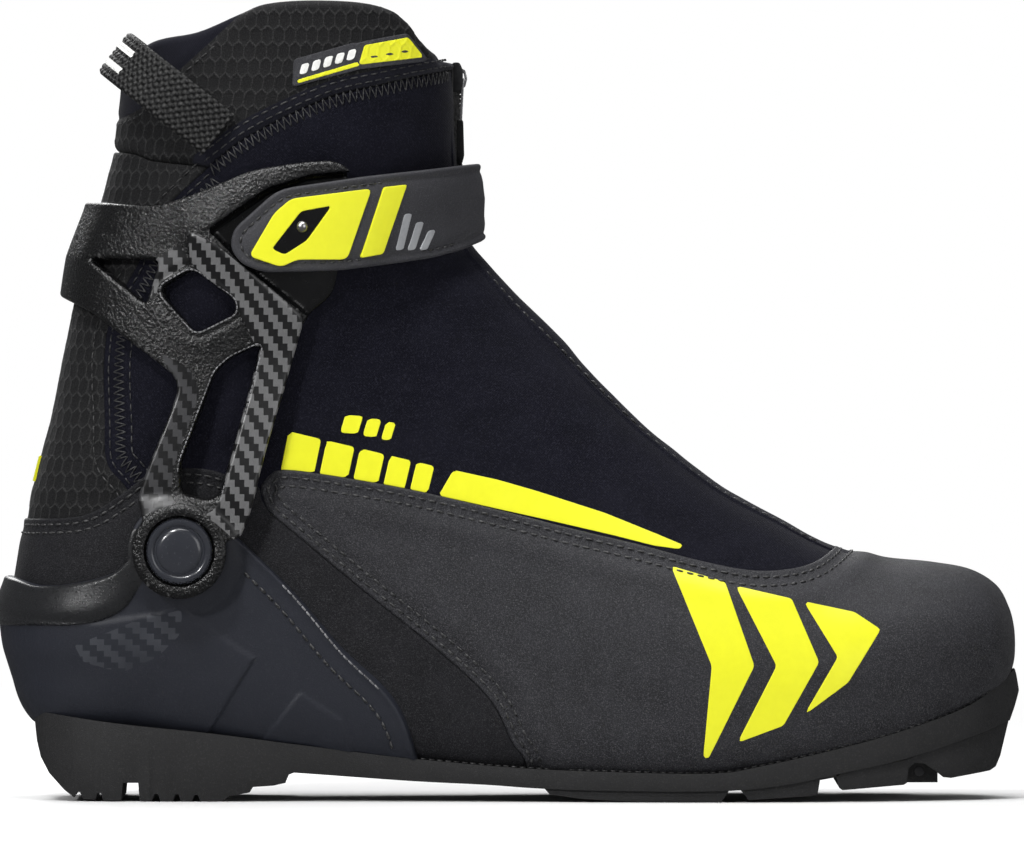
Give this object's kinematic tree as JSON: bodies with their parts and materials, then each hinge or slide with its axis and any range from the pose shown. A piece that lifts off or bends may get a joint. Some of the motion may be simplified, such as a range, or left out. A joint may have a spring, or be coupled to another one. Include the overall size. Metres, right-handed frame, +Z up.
{
  "type": "cross country boot",
  "caption": "Ankle-high cross-country skating boot with a hinged cuff, fold-over strap, zipped softshell cover and a toe bar sole.",
  "frame": {"origin": "on the ground under the middle of the boot's bounding box", "axes": "+X towards the toe, +Y towards the medial (inner) side of this right boot, +Z up"},
  "size_m": [0.3002, 0.0983, 0.2348],
  "materials": {
    "softshell": "fine woven softshell fabric",
    "synthetic": "matte coated synthetic with a fine grain",
    "hex_mesh": "padded mesh embossed with hexagons",
    "lining": "brushed knit lining",
    "shell_plastic": "smooth satin moulded plastic",
    "cuff_plastic": "glossy grained moulded plastic with a twill pattern on the arms",
    "sole_rubber": "matte moulded rubber",
    "board": "pressed board",
    "footbed_foam": "fabric-faced foam",
    "strap": "matte synthetic leather with stitched edges",
    "yellow": "fluorescent printed film",
    "webbing": "ribbed nylon webbing",
    "steel": "satin steel"
  },
  "bodies": {
    "boot": {"sole_plate": "sole_rubber", "heel_tread": "sole_rubber", "forefoot_tread": "sole_rubber", "toe_binding_block": "sole_rubber", "toe_bar": "steel", "lasting_board": "board", "footbed": "footbed_foam", "vamp": "synthetic", "heel_foxing": "synthetic", "softshell": "softshell", "achilles_panel": "hex_mesh", "collar": "hex_mesh", "heel_tab": "lining", "toe_puff": "board", "heel_counter": "board", "eyestay_lateral": "synthetic", "eyestay_medial": "synthetic", "liner_toe": "lining", "liner_sole": "lining", "liner_heel": "lining", "liner_back": "lining", "liner_forefoot_lateral": "lining", "liner_forefoot_medial": "lining", "liner_quarter_lateral": "lining", "liner_quarter_medial": "lining", "liner_shaft_lateral": "lining", "liner_shaft_medial": "lining", "tongue": "lining", "zip_chain": "webbing", "heel_marker": "yellow", "collar_label": "yellow", "heel_shell": "shell_plastic", "pivot_post_lateral": "steel", "pivot_post_medial": "steel", "pivot_washer_lateral": "cuff_plastic", "pivot_washer_medial": "cuff_plastic", "pivot_cap_lateral": "cuff_plastic", "pivot_cap_medial": "cuff_plastic"},
    "cuff": {"cuff_shell": "cuff_plastic", "strap_end_lateral": "strap", "strap_loop_patch": "webbing", "strap_badge_rear": "yellow", "strap_badge_front": "yellow", "strap_rivet": "steel"},
    "strap_front": {"strap_front": "strap"},
    "strap_tip": {"strap_tip": "strap"},
    "zip_slider": {"zip_slider": "steel"},
    "zip_pull": {"zip_pull": "steel"},
    "pull_loop": {"pull_loop": "webbing"}
  },
  "joints": [
    {"name": "cuff_pivot", "type": "hinge", "parent": "boot", "child": "cuff", "pos_m": [-0.0974, 0, 0.0736], "axis": [0, 1, 0], "range_deg": [-5, 20], "stiffness_Nm_per_rad": 3, "deforming": ["softshell", "achilles_panel", "collar", "heel_tab", "liner_back", "liner_quarter_lateral", "liner_quarter_medial", "liner_shaft_lateral", "liner_shaft_medial", "tongue", "zip_chain", "collar_label"]},
    {"name": "strap_lift", "type": "hinge", "parent": "cuff", "child": "strap_front", "pos_m": [-0.02367, -0.03014, 0.17557], "axis": [-0.1048, 0.0642, -0.9924], "range_deg": [0, 80]},
    {"name": "strap_tip_peel", "type": "hinge", "parent": "strap_front", "child": "strap_tip", "pos_m": [-0.02367, 0.03014, 0.17557], "axis": [-0.1048, -0.0642, -0.9924], "range_deg": [0, 100]},
    {"name": "zip_travel", "type": "slide", "parent": "cuff", "child": "zip_slider", "axis": [0.0599, 0, -0.9982], "range_m": [0, 0.02]},
    {"name": "zip_pull_swing", "type": "hinge", "parent": "zip_slider", "child": "zip_pull", "pos_m": [-0.0142, 0, 0.2074], "axis": [0, -1, 0], "range_deg": [0, 100]},
    {"name": "pull_loop_swing", "type": "hinge", "parent": "cuff", "child": "pull_loop", "pos_m": [-0.0869, 0, 0.1964], "axis": [0, 1, 0], "range_deg": [0, 30]}
  ]
}
